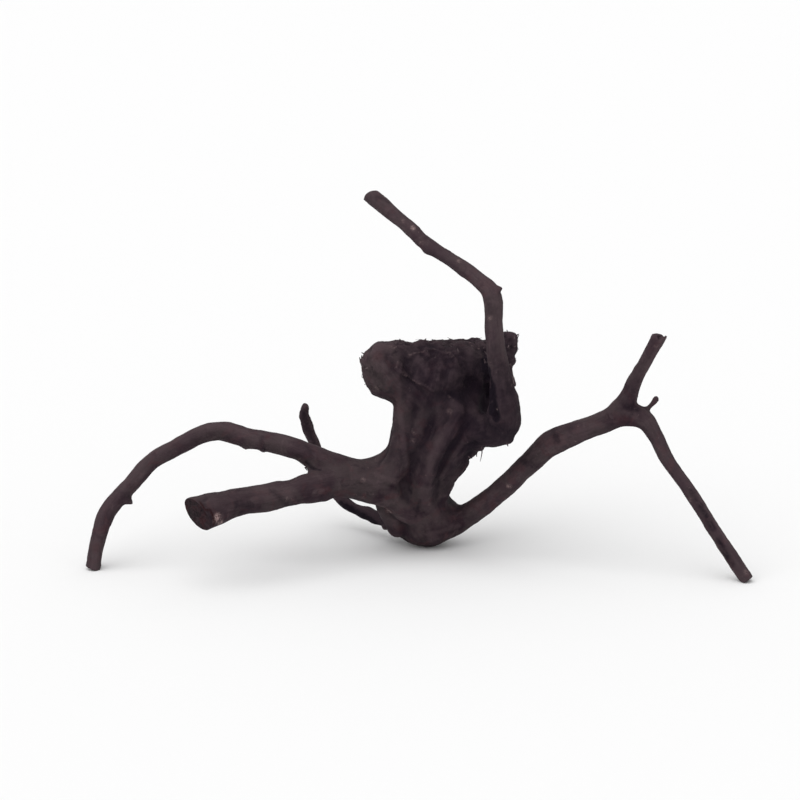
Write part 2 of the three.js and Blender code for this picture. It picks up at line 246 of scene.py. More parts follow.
def read_points(mesh):
    flat = np.empty(len(mesh.vertices) * 3)
    mesh.vertices.foreach_get("co", flat)
    return flat.reshape(-1, 3)


def read_normals(mesh):
    flat = np.empty(len(mesh.vertices) * 3)
    mesh.vertices.foreach_get("normal", flat)
    return flat.reshape(-1, 3)


def write_points(mesh, places):
    mesh.vertices.foreach_set("co", places.ravel())
    mesh.update()


def ramp(value, low, high):
    """0 below low, 1 above high, and a soft step between."""
    share = np.clip((value - low) / (high - low), 0, 1)
    return share * share * (3 - 2 * share)


def around(where, place, reach):
    """A soft spot, 1 at a place and 0 beyond its reach in pixels. It is deeper than it is wide."""
    offset = where - np.array(place)
    depth = offset @ np.array(forward)
    sideways = offset - depth[:, None] * np.array(forward)
    distance = np.sqrt((sideways**2).sum(1) + (depth / DEPTH_PER_WIDTH) ** 2)
    return 1 - ramp(distance, 0, reach * PIXEL)


def skin_seen():
    return BVHTree.FromObject(root, bpy.context.evaluated_depsgraph_get())


def seen_at(px, py):
    """The place on the wood that the photograph shows at a pixel, or None."""
    return skin_tree.ray_cast(camera.location, ray_through(px, py).normalized())[0]


def seen_near(px, py):
    """The place on the wood that is seen at a pixel, or else a few pixels away from it."""
    for reach in range(SEARCH_PIXELS):
        for step in range(SEARCH_DIRECTIONS):
            angle = step / SEARCH_DIRECTIONS * math.tau
            place = seen_at(px + reach * math.cos(angle), py + reach * math.sin(angle))
            if place is not None:
                return place
    raise ValueError("no wood near this pixel")


skin_tree = skin_seen()
smoothed = read_points(root.data)
outward = read_normals(root.data)
pulled = smoothed.copy()
for (px, py), reach, (to_right, to_up) in PULLS:
    pull = np.array(right * to_right + up * to_up)
    pulled += around(smoothed, seen_near(px, py), reach)[:, None] * pull * PIXEL
for (px, py), reach, height in SWELLS:
    pulled += around(smoothed, seen_near(px, py), reach)[:, None] * outward * height * MM
print("largest pull:", round(np.linalg.norm(pulled - smoothed, axis=1).max() / MM, 2), "mm")
write_points(root.data, pulled)

# %% [markdown]
# ## Flowing together
#
# Where the strands of the stump meet, the solid has creases. The real strands have grown together under one
# bark, so the creases are smoothed out: a mask marks them, and a Smooth modifier acts only through the mask.

# %% Smooth the creases
CREASES = [
    ((398, 352), 9), ((400, 364), 10), ((406, 378), 10), ((416, 388), 11), ((430, 394), 11),
    ((446, 395), 11), ((462, 390), 10), ((398, 448), 10), ((402, 462), 11), ((405, 476), 11),
    ((409, 490), 11), ((414, 502), 10), ((388, 526), 8), ((310, 464), 7),
]
LEAST_SHARE = 0.01
crease = np.zeros(len(pulled))
for (px, py), reach in CREASES:
    crease = np.maximum(crease, around(pulled, seen_near(px, py), reach))
crease_mask = root.vertex_groups.new(name="creases")
for index in np.flatnonzero(crease > LEAST_SHARE).tolist():
    crease_mask.add([index], crease[index], "REPLACE")
soften = root.modifiers.new("soften creases", "SMOOTH")
soften.vertex_group = "creases"
soften.factor = 0.5
soften.iterations = 45
apply_modifier(root, soften)
print("points in creases:", int((crease > LEAST_SHARE).sum()))

# %% [markdown]
# ## Sawing the ends
#
# Now the drawn-out ends are sawn off at their planes. The two tips are also cut level where they stand, a
# hair above the floor so that the cut is clean, and then set down on it. The filled cuts are the only faces
# with many corners, and are found again by them.

# %% Saw the ends
LEVEL = 0.15 * MM
TIPS = [(-192, -24), (193, -46)]
TIP_REACH = 9 * MM
MANY_CORNERS = 12
cuts = [sawn_plane(end) for end in SAWN_ENDS]
cuts += [(Vector((x * MM, y * MM, LEVEL)), Vector((0, 0, -1)), TIP_REACH) for x, y in TIPS]
for middle, facing, reach in cuts:
    edit_selected(root, "VERT", lambda vertex: (vertex.co - middle).length < reach + SPARE)
    bpy.ops.mesh.bisect(plane_co=middle, plane_no=facing, use_fill=True, clear_outer=True)
    bpy.ops.object.mode_set(mode="OBJECT")
sawn = read_points(root.data)
sawn[sawn[:, 2] < 1.01 * LEVEL, 2] = 0
write_points(root.data, sawn)
cut_faces = [face.index for face in root.data.polygons if len(face.vertices) > MANY_CORNERS]
skin_tree = skin_seen()
print("sawn faces in square mm:", [round(root.data.polygons[index].area * 1e6) for index in cut_faces])

# %% [markdown]
# ## Where the grain runs
#
# Wood fibres follow each root along its length. The pattern of the grain therefore needs to know, at every
# point of the skin, which root it is on and how far along it. The routes below are the middle lines of the
# main roots, each point with its thickness, in millimetres. For every point of the skin the nearest place
# on each route is found, and a frame that is carried along the route without twisting gives two directions
# across the root.

# %% Lay the routes
ROUTES = {
    "stump": [
        (6, 22, 4, 18), (0, 13, 42, 18), (3, 8, 62, 18), (8, 5, 81, 19), (17, 6, 99, 21), (24, 5, 125, 21),
    ],
    "knob": [(-2, -1, 104, 12), (-12, -2, 112, 12), (-20, -3, 122, 13)],
    "front left strand": [(16, -10, 96, 8), (6, -12, 76, 8), (-1, -8, 58, 8), (-4, 0, 38, 8), (2, 10, 20, 8)],
    "front strand": [(30, -12, 100, 7), (17, -11, 79, 7), (7, -6, 54, 7), (5, 0, 36, 7), (12, 8, 22, 7)],
    "front right strand": [
        (34, -12, 100, 6), (34, -14, 92, 7), (30, -10, 80, 7), (22, -6, 67, 7), (17, -2, 55, 7),
    ],
    "left long": [
        (-10, 4, 38, 12), (-20, 3, 46, 12), (-39, -2, 51, 11), (-52, -4, 58, 9), (-66, -3, 66, 7),
        (-77, -1, 70, 6), (-90, 3, 72, 6), (-101, 7, 73, 6), (-110, 9, 75, 6), (-118, 9, 77, 6),
        (-126, 7, 76, 5.4), (-140, 1, 71, 5), (-158, -7, 61, 5), (-172, -13, 47, 5), (-184, -18, 34, 5),
        (-189, -21, 21, 4.5), (-193, -24, 0, 4.4),
    ],
    "left sawn": [
        (-22, -1, 46, 12), (-43, -9, 50, 9.4), (-68, -21, 49, 8), (-88, -32, 47, 8), (-107, -44, 47, 8),
        (-117, -51, 46, 9.6), (-124, -56, 45, 10.5), (-133, -64, 44, 11),
    ],
    "back slender": [
        (-8, 27, 16, 10), (-20, 38, 12, 4.6), (-32, 48, 13, 3.2), (-43, 56, 16, 3.2), (-53, 61, 25, 3.4),
        (-59, 63, 37, 3.4), (-63, 61, 51, 3.3), (-67, 57, 66, 3.1), (-69, 54, 75, 3), (-69, 52, 81, 2.4),
    ],
    "right long": [
        (6, 21, 21, 16), (18, 19, 18, 11.5), (28, 17, 20, 8), (37, 14, 26, 6.7), (56, 6, 44, 6.2),
        (68, 1, 59, 6.3), (82, -4, 73, 7.5), (93, -7, 79, 7), (108, -11, 86, 6.3), (119, -14, 92, 6.5),
        (128, -17, 93, 6.2), (135, -20, 90, 5.6), (141, -23, 82, 4.5), (147, -27, 70, 4),
        (161, -33, 51, 3.8), (172, -38, 33, 3.8), (182, -42, 18, 3.9), (197, -47, 0, 4.1),
    ],
    "right stub": [
        (120, -15, 95, 7), (124, -18, 104, 5.4), (130, -26, 122, 4), (135, -31, 134, 3.8), (140, -35, 146, 4),
    ],
    "upper": [
        (25, 1, 80, 12), (39, -12, 83, 10), (49, -21, 87, 10.5), (51, -30, 98, 9.5), (50, -35, 110, 8),
        (48, -36, 122, 6.5), (46, -35, 134, 5.6), (45, -33, 145, 5.2), (44, -28, 163, 5.3),
        (42, -26, 170, 5.2), (34, -21, 176, 4.4), (21, -15, 185, 3.9), (9, -9, 191, 4), (-3, -3, 202, 4),
        (-22, 7, 216, 4.4), (-32, 12, 223, 4.5),
    ],
}
CLEARLY_NEARER = 4 * MM


def carried_frames(line):
    """Two directions across the route at each of its points, carried along without twist."""
    steps = np.diff(line, axis=0)
    along = np.vstack([steps[:1], steps[:-1] + steps[1:], steps[-1:]])
    along /= np.linalg.norm(along, axis=1, keepdims=True)
    first = np.cross(along[0], (0.3, 1.0, 0.2))
    across = [first / np.linalg.norm(first)]
    for direction in along[1:]:
        carried = across[-1] - direction * across[-1].dot(direction)
        across.append(carried / np.linalg.norm(carried))
    across = np.array(across)
    return across, np.cross(along, across)


def grain_place(where, route):
    """For each point: its gap to the route's surface, and its place across and along the route."""
    line = np.array(route, float)[:, :3] * MM
    thick = np.array(route, float)[:, 3] * MM
    first, second = carried_frames(line)
    best = np.full(len(where), np.inf)
    found = np.zeros((len(where), 3))
    run = 0.0
    for i in range(len(line) - 1):
        step = line[i + 1] - line[i]
        length = np.linalg.norm(step)
        share = np.clip((where - line[i]) @ step / length**2, 0, 1)
        offset = where - line[i] - share[:, None] * step
        gap = np.linalg.norm(offset, axis=1) - (thick[i] + share * (thick[i + 1] - thick[i]))
        side = first[i] + share[:, None] * (first[i + 1] - first[i])
        other = second[i] + share[:, None] * (second[i + 1] - second[i])
        here = np.stack([(offset * side).sum(1), (offset * other).sum(1), run + share * length], axis=1)
        nearer = gap < best
        best[nearer] = gap[nearer]
        found[nearer] = here[nearer]
        run += length
    return best, found


points = read_points(root.data)
found = [grain_place(points, route) for route in ROUTES.values()]
gaps = np.array([gap for gap, _ in found])
places = [place for _, place in found]
nearest = gaps.argmin(0)
order = np.sort(gaps, axis=0)
certainty = np.clip((order[1] - order[0]) / CLEARLY_NEARER, 0, 1)
print("points per root:", dict(zip(ROUTES, np.bincount(nearest, minlength=len(ROUTES)).tolist())))

# %% [markdown]
# ## Streaks
#
# Streaks are noise that is stretched along the grain. It is worked out point by point here, once for each
# root, and the roots' values flow into each other where two of them meet, so no seam shows at a fork.

# %% Make the streaks


def cell_value(cells, seed):
    """A repeatable number from 0 to 1 for each whole-numbered cell."""
    mixed = cells[..., 0] * 73856093 ^ cells[..., 1] * 19349663 ^ cells[..., 2] * 83492791 ^ seed * 2654435
    mixed = (mixed ^ (mixed >> 13)) * 1274126177 & 0x7FFFFFFF
    return ((mixed ^ (mixed >> 16)) & 0xFFFF) / 65535.0


def soft_noise(where, seed):
    """Smooth noise from -1 to 1."""
    low = np.floor(where).astype(np.int64)
    part = where - low
    part = part * part * (3 - 2 * part)
    total = np.zeros(len(where))
    for corner in range(8):
        bit = np.array([corner & 1, corner >> 1 & 1, corner >> 2 & 1])
        weight = np.where(bit, part, 1 - part).prod(1)
        total += weight * cell_value(low + bit, seed)
    return total * 2 - 1


def streaks(width, length, seed):
    """Noise that is stretched along each root, blended where roots meet."""
    blend = np.exp(-(gaps - gaps.min(0)) / (1.5 * MM))
    blend /= blend.sum(0)
    total = np.zeros(len(points))
    for number, place in enumerate(places):
        used = blend[number] > 0.02
        where = place[used] / (width * MM, width * MM, length * MM)
        total[used] += blend[number][used] * soft_noise(where + number * 17.3, seed)
    return total


fine_streaks = streaks(1.7, 14, 3)
broad_streaks = streaks(4.5, 32, 8)
print("streaks from", round(fine_streaks.min(), 2), "to", round(fine_streaks.max(), 2))

# %% [markdown]
# ## Masks: rough, sawn, standing
#
# A mask says how strongly each point takes part, from 0 to 1. The head is crumbly, the roots are only
# grained, the sawn faces stay flat, and the three feet keep their flat spots so that the root still stands.

# %% Paint the masks
CRUMBLY_PLACES = [
    ((16, 4, 124), 25, 0.8), ((40, 8, 122), 18, 0.9), ((55, 16, 128), 12, 1.0), ((-22, -2, 118), 16, 0.9),
    ((38, 0, 72), 9, 0.9), ((28, 4, 62), 9, 0.8), ((24, 6, 48), 14, 0.3), ((139, -35, 145), 5, 0.8),
    ((-68, 54, 76), 8, 0.6), ((-6, 24, 10), 10, 0.5),
]
# Places given painted shade: over the stump and head, in the wedge by the upper root, and behind and under
# the slender root. Each has a middle, a reach and a strength, in millimetres.
SHADE_PLACES = [
    ((38, -18, 103), 26, 1.0), ((14, -15, 118), 26, 0.85), ((47, -24, 82), 22, 1.0), ((12, -12, 74), 26, 0.6),
    ((50, -38, 104), 20, 0.8), ((30, 10, 100), 34, 0.8), ((28, -2, 60), 18, 0.55), ((55, 16, 126), 14, 0.8),
    ((-32, 48, 13), 22, 1.0), ((-12, 30, 16), 18, 1.0),
]

edge_ends = np.empty(len(root.data.edges) * 2, dtype=np.int32)
root.data.edges.foreach_get("vertices", edge_ends)
edge_ends = edge_ends.reshape(-1, 2)
neighbours = np.bincount(edge_ends.ravel(), minlength=len(points)).astype(float)


def spread(values, rounds):
    """Each point takes the mean of its neighbours, again and again."""
    values = np.array(values, float)
    for _ in range(rounds):
        total = np.bincount(edge_ends[:, 0], values[edge_ends[:, 1]], len(values))
        total += np.bincount(edge_ends[:, 1], values[edge_ends[:, 0]], len(values))
        values = total / neighbours
    return values


def blobs(places):
    """A soft mask from a list of places, each with its reach and strength."""
    total = np.zeros(len(points))
    for middle, reach, strength in places:
        distance = np.linalg.norm(points - np.array(middle) * MM, axis=1)
        total = np.maximum(total, strength * (1 - ramp(distance, 0.55 * reach * MM, 1.5 * reach * MM)))
    return total


rim = np.zeros(len(points))
for index in cut_faces:
    rim[list(root.data.polygons[index].vertices)] = 1
standing = 1 - ramp(points[:, 2], 0.8 * MM, 3 * MM)
free = (1 - standing) * (1 - rim) * (1 - 0.6 * spread(rim, 1))
off_upper_root = np.maximum(
    ramp(gaps[list(ROUTES).index("upper")], 0.3 * MM, 2.5 * MM),
    1 - ramp(points[:, 2], 88 * MM, 98 * MM),
)
crumbly = blobs(CRUMBLY_PLACES) * off_upper_root
# Painted shade over the stump, the head and behind the slender root.
placed_shade = blobs(SHADE_PLACES)
print("rim points:", int(rim.sum()), " crumbly share:", round(float(crumbly.mean()), 3))

# %% [markdown]
# ## Ridges and folds of the stump
#
# The stump is not round: strands of root have grown together in it, with folds between them. They are
# modelled like a sculptor's brush strokes. Each stroke is a short line of places in the photograph, its
# width in pixels, and how high it stands or how deep it goes in millimetres. A ray finds where on the wood
# each place lies, so the strokes are true relief and hold from every side.

# %% Sculpt the strokes
RIDGES = [
    ([(459, 409), (453, 423), (444, 436), (435, 452), (430, 464), (427, 478)], 6, 0.6),
    ([(399, 386), (399, 402), (402, 430), (407, 464)], 4, 0.6),
    ([(356, 478), (372, 482), (386, 487), (398, 494)], 3.5, 0.6),
    ([(417, 422), (414, 436), (412, 450)], 4, 0.4),
    ([(449, 398), (456, 404), (461, 412)], 5, 0.5),
    ([(472, 404), (480, 414), (482, 428)], 5, 0.5),
    ([(409, 357), (415, 353), (425, 352), (429, 356)], 1.8, 0.9),
    ([(399, 346), (404, 349), (409, 353), (408, 357)], 1.8, 0.8),
    ([(398, 371), (404, 373), (413, 380), (425, 385), (433, 391)], 1.8, 0.9),
    ([(402, 364), (400, 370)], 1.6, 0.6),
    ([(430, 349), (438, 350), (444, 353), (450, 353), (455, 358), (458, 366)], 1.8, 0.8),
    ([(437, 364), (440, 367), (440, 372), (438, 380)], 1.6, 0.6),
    ([(478, 346), (476, 349)], 1.5, 0.7),
    ([(470, 344), (472, 347)], 1.5, 0.6),
    ([(373, 352), (380, 346), (390, 345)], 6, 0.5),
    ([(408, 402), (412, 408)], 2.4, 0.5),
    ([(449, 395), (453, 400)], 1.8, 0.5),
    ([(416, 343), (421, 341), (427, 344)], 2.4, 1.0),
    ([(447, 343), (453, 342)], 2.2, 0.5),
    ([(462, 341), (472, 340)], 2.4, 0.6),
]
FOLDS = [
    ([(431, 404), (433, 416), (428, 430), (421, 446)], 5, 0.6),
    ([(467, 424), (455, 443), (443, 461), (435, 482)], 5, 0.8),
    ([(428, 394), (444, 396), (462, 392), (478, 384)], 7, 0.6),
    ([(483, 350), (484, 372), (487, 386)], 6, 1.0),
    ([(486, 380), (489, 394), (493, 410)], 5, 2.4),
    ([(468, 380), (478, 386), (486, 392)], 7, 0.9),
    ([(396, 352), (394, 362), (391, 374)], 4, 0.5),
    ([(386, 356), (386, 364)], 3, 0.4),
    ([(476, 442), (466, 446), (459, 455)], 3, 0.7),
    ([(404, 478), (410, 492)], 2.6, 0.6),
    ([(406, 345), (412, 344)], 2.4, 1.0),
    ([(412, 361), (416, 366), (414, 372)], 3, 0.3),
    ([(428, 360), (433, 366), (431, 372)], 3, 0.3),
    ([(444, 360), (448, 368), (446, 378)], 3, 0.25),
    ([(462, 350), (468, 358), (466, 368)], 3.4, 0.4),
    ([(408, 378), (416, 386), (424, 392)], 2.2, 0.7),
    ([(378, 386), (380, 390)], 1.6, 0.6),
    ([(306, 463), (311, 468), (320, 470)], 2.2, 0.8),
    ([(420, 500), (416, 516)], 2.4, 0.4),
    ([(659.6, 334), (659, 339)], 1.8, 1.6),
]
WEDGE = [([(489, 378), (491, 392), (493, 404), (495, 415)], 5, 2.4)]


def along_stroke(line):
    """Places on the wood every two pixels along a stroke."""
    found = []
    for (x0, y0), (x1, y1) in zip(line, line[1:]):
        count = max(1, round(math.hypot(x1 - x0, y1 - y0) / 2))
        for i in range(count + 1):
            place = seen_at(x0 + (x1 - x0) * i / count, y0 + (y1 - y0) * i / count)
            if place is not None:
                found.append(place)
    return np.array(found)


def brushed(strokes):
    """How much of the strokes reaches each point, at their own strengths."""
    total = np.zeros(len(points))
    for line, width, depth in strokes:
        distance = np.full(len(points), np.inf)
        for place in along_stroke(line):
            distance = np.minimum(distance, np.linalg.norm(points - place, axis=1))
        total = np.maximum(total, depth * (1 - ramp(distance, 0.15 * width * PIXEL, 1.25 * width * PIXEL)))
    return total


ridge_height = brushed(RIDGES) * off_upper_root
fold_depth = np.maximum(brushed(FOLDS) * off_upper_root, brushed(WEDGE))
print("ridges to", round(ridge_height.max(), 2), "mm, folds to", round(fold_depth.max(), 2), "mm")

# %% [markdown]
# ## Grain, lumps and crumbs
#
# The relief is added with Displace modifiers, each through its own mask: first the strokes, then grooves
# along the grain, then lumps of bark, and last the sharp little crumbs of the broken head. On the real root
# the head is where the trunk was torn and rotted, so it is much rougher than the roots.

# %% Carve the relief
STRONGEST = 2.5
GROOVES = 0.28 * MM
BARK_LUMPS = 3.4 * MM
CRUMBS = 0.9 * MM
SPLITS = 0.6 * MM


def add_mask(name, weights):
    group = root.vertex_groups.new(name=name)
    for index, weight in enumerate(np.clip(weights, 0, 1).tolist()):
        group.add([index], weight, "REPLACE")


def displace(mask, strength, mid_level=0.0, texture=None):
    modifier = root.modifiers.new(mask, "DISPLACE")
    modifier.vertex_group = mask
    modifier.strength = strength
    modifier.mid_level = mid_level
    if texture:
        modifier.texture = texture
        modifier.texture_coords = "LOCAL"
    apply_modifier(root, modifier)


def clouds(name, size, depth, kind="SOFT_NOISE"):
    texture = bpy.data.textures.new(name, "CLOUDS")
    texture.noise_scale = size
    texture.noise_depth = depth
    texture.noise_type = kind
    return texture


groove_weight = 0.5 + 0.5 * np.clip(0.75 * fine_streaks + 0.5 * broad_streaks, -1, 1)
add_mask("ridges", ridge_height / STRONGEST * free)
add_mask("folds", fold_depth / STRONGEST * free)
add_mask("grooves", groove_weight * free)
add_mask("bark", (0.22 + 0.78 * crumbly) * free)
add_mask("crumbs", crumbly * free)
add_mask("splits", crumbly * (0.4 + 0.6 * groove_weight) * free)
displace("ridges", STRONGEST * MM)
displace("folds", -STRONGEST * MM)
displace("grooves", GROOVES)
displace("bark", BARK_LUMPS, 0.5, clouds("bark lumps", 7 * MM, 2))
displace("crumbs", CRUMBS, 0.36, clouds("crumbs", 5.2 * MM, 1, "HARD_NOISE"))
displace("splits", SPLITS, 0.5, clouds("splits", 2.4 * MM, 1))

moved = read_points(root.data)
moved[:, 2] = np.maximum(moved[:, 2], 0)
write_points(root.data, moved)
print("largest move:", round(np.linalg.norm(moved - points, axis=1).max() / MM, 2), "mm")

# %% [markdown]
# ## What stands out and what lies deep
#
# Handling and tumbling wear the ridges of such wood lighter, and its hollows are given painted shade.
# Comparing the skin with a smoothed copy of itself tells the two apart. Many rounds of smoothing show the
# broad forms, and a few rounds show the small crumbs.

# %% Measure ridges and hollows
BROAD_ROUNDS = 52
SMALL_ROUNDS = 5


def standing_out(rounds):
    flattened = np.stack([spread(moved[:, axis], rounds) for axis in range(3)], axis=1)
    return ((moved - flattened) * read_normals(root.data)).sum(1)


broad = standing_out(BROAD_ROUNDS)
small = standing_out(SMALL_ROUNDS)
ridge = ramp(broad, 0.2 * MM, 2.0 * MM) * 0.6 + ramp(small, 0.02 * MM, 0.25 * MM) * 0.4
# Hollows get painted shade in the material.
hollow_shade = np.clip(ramp(-broad, 0.0, 1.4 * MM) + ramp(-small, 0.02 * MM, 0.22 * MM) * 0.5, 0, 1)
print("ridge share:", round(float(ridge.mean()), 3), " hollow share:", round(float(hollow_shade.mean()), 3))

# %% [markdown]
# ## Light and dark brush strokes
#
# Parts of the wood are paler bark and parts darker bark. On top of that, painted highlights lie on some
# ridges, and painted shade, nearly black, lies in recesses and under and behind the roots. Noise alone can't
# know where. So these are painted too, with the same kind of stroke as the relief: a line of places, a
# width and a strength. The deepest painted shade is in the wedge between the head and the upper root.

# %% Paint light and dark
# Mostly painted shade in recesses and under and behind roots; a few are dark bark, such as the dark rim of
# the left sawn end.
DARK_AND_SHADE_STROKES = [
    ([(484, 350), (486, 372)], 6, 0.7),
    ([(486, 362), (491, 386), (493, 402), (495, 416)], 7, 2.5),
    ([(489.5, 370), (490, 386), (490, 400), (490.5, 412)], 4, 2.5),
    ([(494, 402), (496, 412), (496, 420)], 4, 2.5),
    ([(204, 505), (208, 512), (211, 520), (210, 527)], 3, 0.6),
    ([(476, 362), (481, 380), (486, 400)], 11, 0.75),
    ([(462, 366), (472, 382)], 11, 0.5),
    ([(494, 350), (499, 380), (506, 410)], 8, 0.45),
    ([(377, 197), (383, 199), (389, 203)], 2.5, 0.5),
    ([(346, 498), (360, 499), (374, 506)], 3, 0.7),
    ([(438, 397), (450, 394), (462, 400)], 6, 0.6),
    ([(474, 420), (460, 435), (447, 452), (436, 470)], 5, 0.5),
    ([(492, 424), (504, 432), (512, 438)], 11, 0.8),
    ([(484, 436), (472, 446), (466, 462)], 7, 0.7),
    ([(504, 366), (511, 388), (516, 410)], 8, 0.5),
    ([(388, 354), (393, 368)], 6, 0.5),
    ([(342, 506), (352, 512), (366, 519), (378, 525)], 7, 2.0),
    ([(410, 470), (411, 494)], 2.2, 0.35),
    ([(449, 468), (446, 486), (449, 500)], 6, 0.25),
    ([(306, 462), (313, 468)], 3, 0.6),
    ([(430, 400), (431, 414), (426, 430)], 5, 0.4),
    ([(398, 345), (408, 344)], 2.6, 0.5),
    ([(303, 412), (306, 430), (312, 442)], 5, 0.6),
    ([(360, 470), (374, 468), (386, 462)], 4, 0.3),
    ([(626, 406), (638, 410)], 4, 0.7),
    ([(690, 490), (699, 504)], 4, 0.5),
    ([(701, 506), (713, 528)], 4.5, 0.9),
    ([(719, 541), (731, 564)], 4.5, 0.9),
    ([(553, 430), (557, 441)], 5, 0.6),
    ([(522, 460), (536, 468)], 5, 0.6),
    ([(668, 440), (673, 452)], 4, 0.5),
    ([(118, 486), (126, 478)], 5, 0.4),
    ([(262, 439), (264, 449)], 3.5, 0.7),
    ([(236, 504), (252, 506)], 4.5, 0.6),
    ([(274, 492), (288, 506)], 4, 0.5),
    ([(300, 442), (312, 452)], 4, 0.4),
    ([(430, 258), (446, 268)], 4, 0.6),
    ([(488, 300), (490, 312)], 4, 0.4),
]
# Paler bark, and painted highlights on lit ridges and on the low front of the stump.
PALE_AND_HIGHLIGHT_STROKES = [
    ([(399, 398), (399, 420), (400, 445)], 7, 0.5),
    ([(410, 398), (420, 408), (418, 424), (422, 440)], 5, 0.5),
    ([(452, 408), (446, 422), (438, 440), (430, 458), (431, 472)], 5, 0.5),
    ([(449, 411), (451, 413)], 3.5, 0.9),
    ([(376, 474), (390, 480), (408, 486)], 3.4, 0.8),
    ([(374, 486), (386, 492), (402, 500)], 3.4, 0.7),
    ([(416, 536), (438, 532), (458, 526)], 4, 0.7),
    ([(398, 520), (418, 526), (440, 518)], 13, 0.6),
    ([(470, 410), (483, 420)], 5, 0.4),
    ([(370, 352), (380, 346), (392, 345)], 7, 0.8),
    ([(418, 454), (417, 470)], 5, 0.4),
    ([(470, 510), (500, 490), (520, 474)], 5, 0.4),
    ([(424, 490), (430, 506), (440, 516)], 7, 0.5),
    ([(408, 498), (414, 510)], 7, 0.4),
    ([(200, 428), (224, 424), (246, 432)], 6, 0.7),
    ([(147, 455), (158, 447), (170, 441)], 3.5, 0.9),
    ([(254, 489), (266, 488)], 3, 0.8),
    ([(290, 496), (295, 502)], 3, 0.7),
    ([(96, 540), (94, 562)], 5, 0.5),
    ([(212, 504), (230, 500)], 7, 0.6),
    ([(624, 412), (634, 416), (642, 424)], 4, 0.7),
    ([(402, 218), (414, 230)], 4, 0.5),
    ([(486, 300), (490, 318)], 4, 0.4),
]
dark_and_shade_paint = brushed(DARK_AND_SHADE_STROKES)
pale_and_highlight_paint = brushed(PALE_AND_HIGHLIGHT_STROKES)
print("painted dark:", int((dark_and_shade_paint > 0.3).sum()), "points, light:", int((pale_and_highlight_paint > 0.3).sum()))

# %% [markdown]
# ## Scars
#
# Small pale scars mark where rootlets broke off or the bark was rubbed through. Each is placed where the
# photograph shows it and lies on the root itself.

# %% Place the scars
SCARS = [
    (413, 228, 3.4, 1.0), (403, 221, 3.0, 0.2), (421, 243, 4.0, 0.2), (459, 261, 3.6, 0.35),
    (490, 318, 3.4, 0.3), (509, 486, 4.2, 0.45), (217, 518, 7.0, 1.0), (220, 523, 5.0, 0.8),
    (262, 485, 3.4, 0.25), (287, 499, 2.6, 0.35), (389, 511, 5.0, 0.5), (430, 504, 3.2, 0.15),
    (363, 480, 3.2, 0.3), (450, 411, 4.0, 0.2), (413, 440, 4.0, 0.15), (495, 411, 2.2, 0.7),
    (377, 388, 4.0, 0.35), (746, 572, 4.0, 0.25), (690, 500, 4.0, 0.2), (656, 346, 3.0, 0.2),
    (102, 552, 3.0, 0.2),
]
SCAR_LINES = [
    ([(410, 355), (415, 353)], 1.3, 0.22), ([(419, 352), (424, 352)], 1.3, 0.2),
    ([(402, 373), (406, 376)], 1.3, 0.2), ([(413, 380), (420, 384)], 1.3, 0.2),
    ([(398, 362), (396, 368)], 1.3, 0.18), ([(446, 352), (450, 354)], 1.3, 0.2),
    ([(470, 344), (472, 346)], 1.3, 0.3), ([(478, 345), (479, 348)], 1.3, 0.3),
    ([(449, 396), (453, 400)], 1.3, 0.15), ([(364, 356), (366, 358)], 1.4, 0.25),
    ([(390, 346), (394, 348)], 1.4, 0.2), ([(412, 430), (415, 434)], 1.4, 0.2),
]
WARM_STAINS = [
    (268, 437, 5, 0.35), (516, 352, 5, 0.8), (378, 356, 8, 0.3), (410, 200, 7, 0.3), (560, 420, 8, 0.3),
    (340, 494, 8, 0.3), (96, 548, 8, 0.3), (400, 528, 8, 0.3), (430, 446, 7, 0.25),
]
SAW_TEARS = [(
    [(200, 502), (203, 507), (205, 510), (210, 510), (212, 514), (213, 518), (214.5, 522), (212, 528)],
    1.7,
    1.0,
)]


def painted(spots):
    total = np.zeros(len(points))
    for px, py, width, strength in spots:
        place = seen_at(px, py)
        if place is not None:
            distance = np.linalg.norm(points - place, axis=1)
            total = np.maximum(total, strength * (1 - ramp(distance, 0.2 * width * PIXEL, width * PIXEL)))
    return total


scar = np.maximum(painted(SCARS), brushed(SCAR_LINES))
stain = painted(WARM_STAINS)
tear = brushed(SAW_TEARS)
print("scarred points:", int((scar > 0.2).sum()))

# %% [markdown]
# ## The wood's finish
#
# The root is dry and matt, and nearly black-brown with a purple cast. Close up there is a lot in it: fine
# lines along the grain, blotches of greyer and redder bark, lighter worn ridges and tiny pale specks. On top
# of these the material lays painted shade in the hollows and over the stump, and painted light on faces
# that look upwards. The material mixes all of these from noise and from the values measured above, which
# are stored as attributes.

# %% Store what the material reads


def store(name, values):
    kind = "FLOAT_VECTOR" if values.ndim == 2 else "FLOAT"
    layer = root.data.attributes.new(name, kind, "POINT")
    layer.data.foreach_set("vector" if values.ndim == 2 else "value", values.astype(np.float32).ravel())


on_grain = np.choose(nearest[:, None], places) * (1, 1, 0.1)
# Faces that look upwards get painted light: the material makes them paler.
top_light = ramp(spread(read_normals(root.data)[:, 2], 3), -0.2, 0.95)
store("grain", on_grain + nearest[:, None] * 0.37)
store("certainty", certainty)
store("ridge", ridge * (1 - rim))
store("hollow_shade", hollow_shade * (1 - rim) * (1 - 0.4 * crumbly))
store("streak", 0.5 + 0.5 * broad_streaks)
store("top_light", top_light)
store("crumbly", crumbly)
# The stump attribute carries painted shade over the stump, the head and behind the slender root.
store("stump", placed_shade)
store("dark_and_shade_paint", dark_and_shade_paint)
store("pale_and_highlight_paint", pale_and_highlight_paint)
store("tear", tear)
store("scar", scar)
store("stain", stain)

# %% Helpers for a finish


